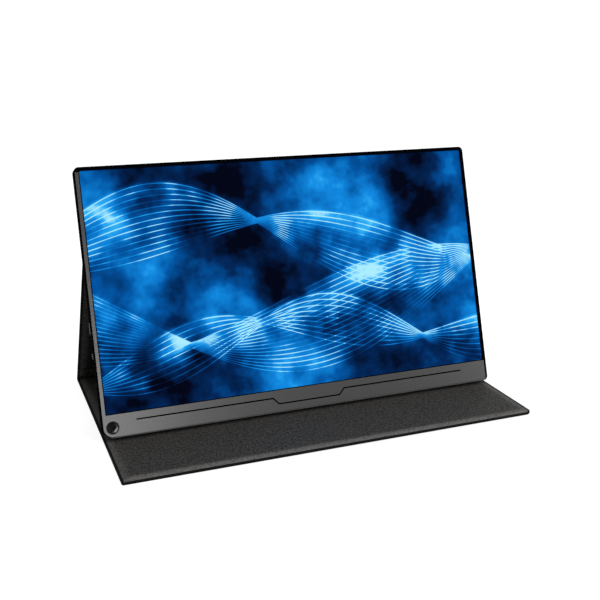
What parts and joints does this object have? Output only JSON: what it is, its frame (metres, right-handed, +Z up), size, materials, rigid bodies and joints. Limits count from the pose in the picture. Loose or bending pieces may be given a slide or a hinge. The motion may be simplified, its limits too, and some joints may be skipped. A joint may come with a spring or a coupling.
{
  "type": "portable monitor",
  "caption": "Slim portable monitor leaning in a black folding cover that opens out flat behind it, with a pen hole, side sockets, a menu wheel and a power button.",
  "frame": {"origin": "middle of the object's footprint, on the table that the flap lies on", "axes": "+X to the right along the screen's width as a viewer sees it, +Y away from the viewer, +Z up"},
  "size_m": [0.3527, 0.2194, 0.2099],
  "materials": {
    "cover_skin": "fine-grained black synthetic leather",
    "cover_lining": "fine-grained black synthetic leather",
    "stiffener": "plain stiff sheet",
    "magnet": "nickel plated",
    "bonding_sheet": "black adhesive foam",
    "front_housing": "satin metallic grey paint",
    "rear_housing": "satin metallic dark grey paint",
    "surround": "dark satin",
    "grommet": "black",
    "liner": "bright turned",
    "screen": "matt antiglare, lit from behind",
    "film": "white sheet",
    "light_guide": "clear",
    "led_bar": "white with lamps",
    "tray": "pressed sheet",
    "tape": "amber film",
    "board": "green laminate",
    "plated_steel": "tin plated",
    "moulded_black": "moulded",
    "cable": "white film",
    "gasket": "closed-cell foam",
    "button": "satin dark grey"
  },
  "bodies": {
    "flap": {"flap_skin": "cover_skin", "flap_lining": "cover_lining", "flap_board_front": "stiffener", "flap_board_middle": "stiffener", "flap_board_rear": "stiffener", "flap_magnets": "magnet"},
    "rear_panel": {"rear_panel_skin": "cover_skin", "rear_panel_lining": "cover_lining", "rear_panel_board": "stiffener", "spine_board": "stiffener"},
    "display": {"attach_panel_skin": "cover_skin", "attach_panel_lining": "cover_lining", "attach_panel_board": "stiffener", "attach_magnets": "magnet", "attach_bond": "bonding_sheet", "front_bezel": "front_housing", "screen_surround": "surround", "rear_cover": "rear_housing", "pen_hole_grommet": "grommet", "pen_hole_liner": "liner", "lcd_glass": "screen", "optical_films": "film", "light_guide": "light_guide", "reflector": "film", "led_bar": "led_bar", "backlight_tray": "tray", "driver_tapes": "tape", "strip_board": "board", "main_board": "board", "board_shield": "plated_steel", "usb_c_socket_lower": "plated_steel", "usb_c_socket_upper": "plated_steel", "mini_hdmi_socket": "plated_steel", "headphone_jack": "moulded_black", "button_board": "board", "power_switch": "moulded_black", "wheel_switch": "moulded_black", "wheel_pin": "plated_steel", "link_cable": "cable", "display_cable": "cable", "speaker_left": "moulded_black", "speaker_right": "moulded_black", "speaker_gasket_left": "gasket", "speaker_gasket_right": "gasket", "keeper_plates": "plated_steel"},
    "power_button": {"power_button": "button"},
    "menu_wheel": {"menu_wheel": "button"}
  },
  "joints": [
    {"name": "spine_fold", "type": "hinge", "parent": "flap", "child": "rear_panel", "pos_m": [0, 0.1083, 0.0014], "axis": [-1, 0, 0], "range_deg": [0, 124.67]},
    {"name": "rear_fold", "type": "hinge", "parent": "rear_panel", "child": "display", "pos_m": [0, 0.01656, 0.13405], "axis": [1, 0, 0], "range_deg": [0, 52.57]},
    {"name": "power_press", "type": "slide", "parent": "display", "child": "power_button", "axis": [1, 0, 0], "range_m": [0, 0.0004], "stiffness_N_per_m": 400},
    {"name": "wheel_turn", "type": "hinge", "parent": "display", "child": "menu_wheel", "pos_m": [-0.1713, -0.0117, 0.06542], "axis": [0, -0.9516, 0.3074], "range_deg": [-12, 12], "stiffness_Nm_per_rad": 0.01}
  ],
  "couplings": [
    {"joint": "rear_fold", "follows": "spine_fold", "ratio": 0.42166}
  ]
}
